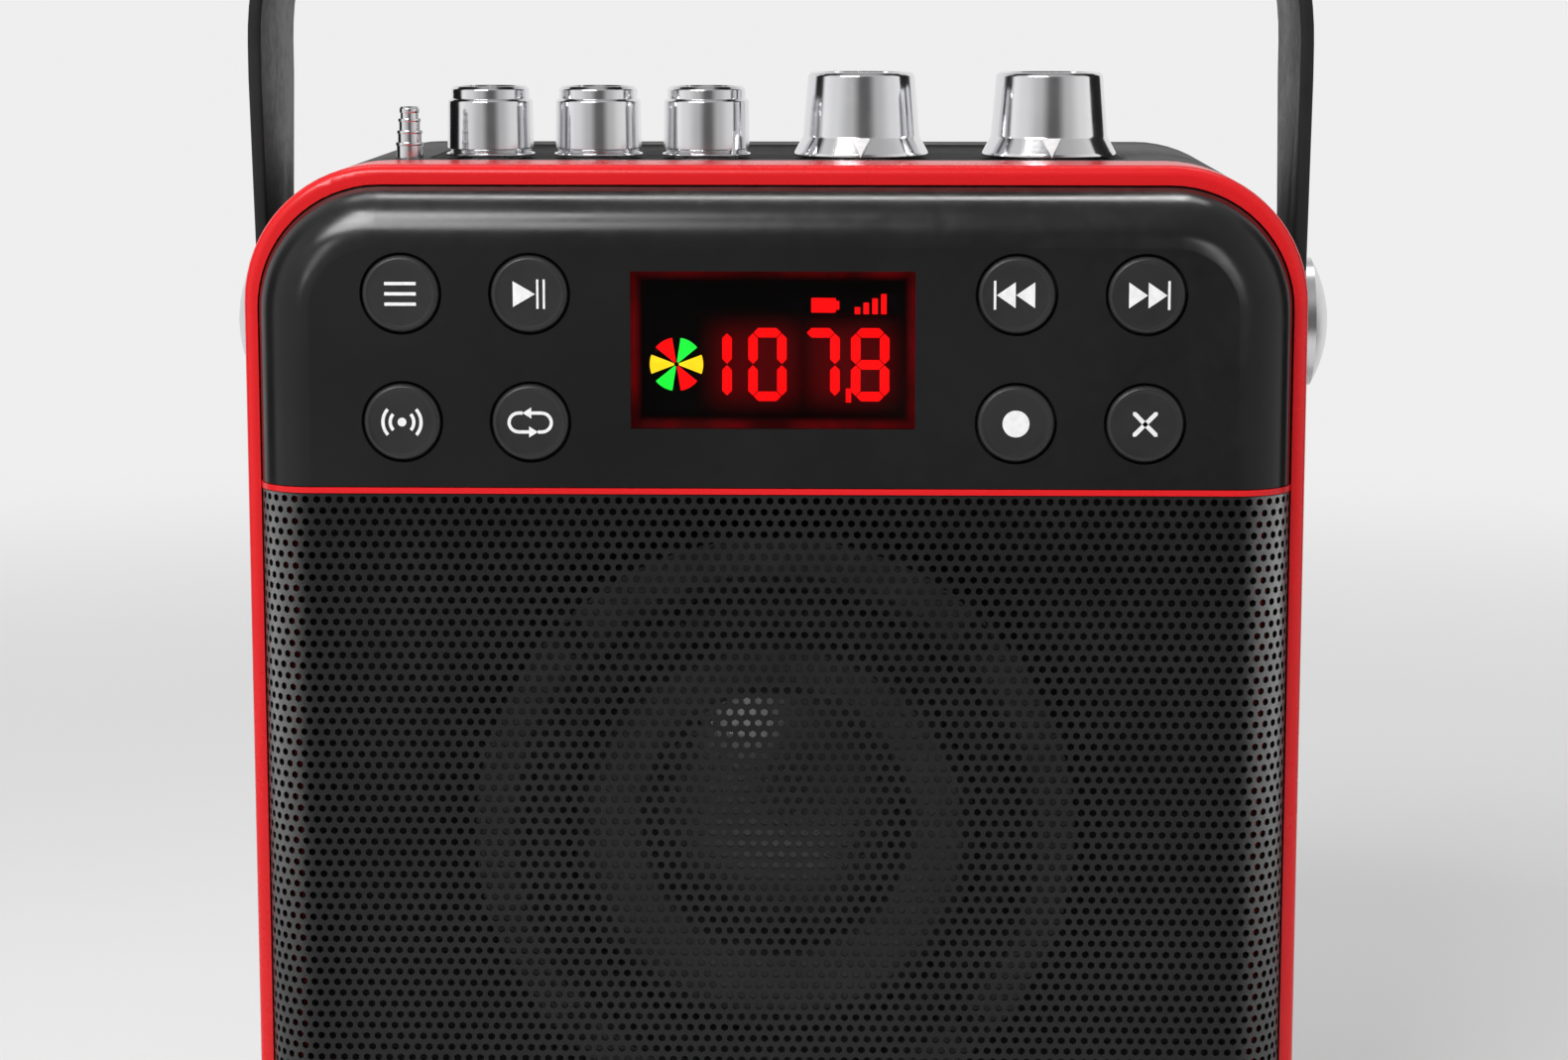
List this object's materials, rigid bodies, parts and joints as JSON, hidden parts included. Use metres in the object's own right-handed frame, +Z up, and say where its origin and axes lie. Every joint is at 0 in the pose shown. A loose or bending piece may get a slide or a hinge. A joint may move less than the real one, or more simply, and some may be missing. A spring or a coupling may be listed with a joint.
{
  "type": "tabletop radio",
  "caption": "Portable tabletop radio with a red framed front, push buttons, lit display, perforated speaker grille, top knobs, telescopic antenna and a swinging strap handle.",
  "frame": {"origin": "centre of the footprint on the table, under the rubber feet", "axes": "+Z up, -Y out of the front with the grille, +X to the right as seen from the front"},
  "size_m": [0.2018, 0.115, 0.284],
  "materials": {
    "red_gloss": "glossy red moulded plastic",
    "black_gloss": "piano black moulded plastic",
    "button_black": "satin black key caps",
    "black_satin": "fine textured black plastic",
    "plate_black": "smooth black plate",
    "grille_black": "black powder coated perforated steel",
    "chrome_plate": "chrome plated plastic",
    "antenna_chrome": "chrome plated tube",
    "cap_silver": "satin silver",
    "strap_black": "matte black flexible strap",
    "foot_rubber": "matte rubber",
    "lens_dark": "dark red tinted acrylic",
    "module_black": "black moulded module",
    "board_green": "green solder mask",
    "steel": "zinc plated steel",
    "brass": "brass and copper",
    "basket_black": "black coated pressed steel",
    "cone_paper": "dark pressed pulp",
    "surround_rubber": "soft black rubber",
    "ferrite": "dark ferrite",
    "socket_black": "black moulded socket",
    "cell_wrap": "blue shrink wrap"
  },
  "bodies": {
    "radio_body": {"trim_frame": "red_gloss", "front_panel": "black_gloss", "speaker_grille": "grille_black", "control_board": "board_green", "key_switches": "module_black", "display_lens": "lens_dark", "display_module": "module_black", "baffle": "black_satin", "speaker_basket": "basket_black", "speaker_surround": "surround_rubber", "speaker_cone": "cone_paper", "speaker_dust_cap": "cone_paper", "speaker_voice_coil": "brass", "speaker_spider": "cone_paper", "speaker_magnet": "ferrite", "speaker_back_plate": "steel", "cabinet": "black_satin", "rear_cover": "black_satin", "top_plate": "plate_black", "rubber_feet": "foot_rubber", "potentiometers": "steel", "pot_nuts": "steel", "pot_board": "board_green", "pivot_caps": "cap_silver", "pivot_bushes": "brass", "main_board": "board_green", "mic_jack": "socket_black", "aux_jack": "socket_black", "charging_jack": "socket_black", "usb_socket": "steel", "card_slot": "steel", "jack_plate": "plate_black", "battery_pack": "cell_wrap", "battery_tray": "black_satin", "rear_screws": "steel", "inner_screws": "steel", "antenna_base": "antenna_chrome"},
    "handle": {"handle_strap": "strap_black"},
    "small_control_left": {"small_knob_left": "chrome_plate", "small_shaft_left": "steel"},
    "small_control_middle": {"small_knob_middle": "chrome_plate", "small_shaft_middle": "steel"},
    "small_control_right": {"small_knob_right": "chrome_plate", "small_shaft_right": "steel"},
    "large_control_left": {"large_knob_left": "chrome_plate", "large_shaft_left": "steel"},
    "large_control_right": {"large_knob_right": "chrome_plate", "large_shaft_right": "steel"},
    "mode_key": {"mode_button": "button_black"},
    "play_key": {"play_button": "button_black"},
    "previous_key": {"previous_button": "button_black"},
    "next_key": {"next_button": "button_black"},
    "radio_key": {"radio_button": "button_black"},
    "repeat_key": {"repeat_button": "button_black"},
    "record_key": {"record_button": "button_black"},
    "delete_key": {"delete_button": "button_black"},
    "antenna_lower_section": {"antenna_lower": "antenna_chrome"},
    "antenna_middle_section": {"antenna_middle": "antenna_chrome"},
    "antenna_tip_section": {"antenna_tip": "antenna_chrome"}
  },
  "joints": [
    {"name": "handle_swing", "type": "hinge", "parent": "radio_body", "child": "handle", "pos_m": [0, 0, 0.1689], "axis": [1, 0, 0], "range_deg": [-110, 110]},
    {"name": "small_knob_left_turn", "type": "hinge", "parent": "radio_body", "child": "small_control_left", "pos_m": [-0.0523, -0.014, 0.2], "axis": [0, 0, 1], "range_deg": [-150, 150]},
    {"name": "small_knob_middle_turn", "type": "hinge", "parent": "radio_body", "child": "small_control_middle", "pos_m": [-0.03275, -0.014, 0.2], "axis": [0, 0, 1], "range_deg": [-150, 150]},
    {"name": "small_knob_right_turn", "type": "hinge", "parent": "radio_body", "child": "small_control_right", "pos_m": [-0.0132, -0.014, 0.2], "axis": [0, 0, 1], "range_deg": [-150, 150]},
    {"name": "large_knob_left_turn", "type": "hinge", "parent": "radio_body", "child": "large_control_left", "pos_m": [0.01475, -0.014, 0.2], "axis": [0, 0, 1], "range_deg": [-150, 150]},
    {"name": "large_knob_right_turn", "type": "hinge", "parent": "radio_body", "child": "large_control_right", "pos_m": [0.0486, -0.014, 0.2], "axis": [0, 0, 1], "range_deg": [-150, 150]},
    {"name": "mode_button_press", "type": "slide", "parent": "radio_body", "child": "mode_key", "axis": [0, 1, 0], "range_m": [0, 0.0008], "stiffness_N_per_m": 2000},
    {"name": "play_button_press", "type": "slide", "parent": "radio_body", "child": "play_key", "axis": [0, 1, 0], "range_m": [0, 0.0008], "stiffness_N_per_m": 2000},
    {"name": "previous_button_press", "type": "slide", "parent": "radio_body", "child": "previous_key", "axis": [0, 1, 0], "range_m": [0, 0.0008], "stiffness_N_per_m": 2000},
    {"name": "next_button_press", "type": "slide", "parent": "radio_body", "child": "next_key", "axis": [0, 1, 0], "range_m": [0, 0.0008], "stiffness_N_per_m": 2000},
    {"name": "radio_button_press", "type": "slide", "parent": "radio_body", "child": "radio_key", "axis": [0, 1, 0], "range_m": [0, 0.0008], "stiffness_N_per_m": 2000},
    {"name": "repeat_button_press", "type": "slide", "parent": "radio_body", "child": "repeat_key", "axis": [0, 1, 0], "range_m": [0, 0.0008], "stiffness_N_per_m": 2000},
    {"name": "record_button_press", "type": "slide", "parent": "radio_body", "child": "record_key", "axis": [0, 1, 0], "range_m": [0, 0.0008], "stiffness_N_per_m": 2000},
    {"name": "delete_button_press", "type": "slide", "parent": "radio_body", "child": "delete_key", "axis": [0, 1, 0], "range_m": [0, 0.0008], "stiffness_N_per_m": 2000},
    {"name": "antenna_lower_slide", "type": "slide", "parent": "radio_body", "child": "antenna_lower_section", "axis": [0, 0, 1], "range_m": [0, 0.092]},
    {"name": "antenna_middle_slide", "type": "slide", "parent": "antenna_lower_section", "child": "antenna_middle_section", "axis": [0, 0, 1], "range_m": [0, 0.092]},
    {"name": "antenna_tip_slide", "type": "slide", "parent": "antenna_middle_section", "child": "antenna_tip_section", "axis": [0, 0, 1], "range_m": [0, 0.092]}
  ]
}
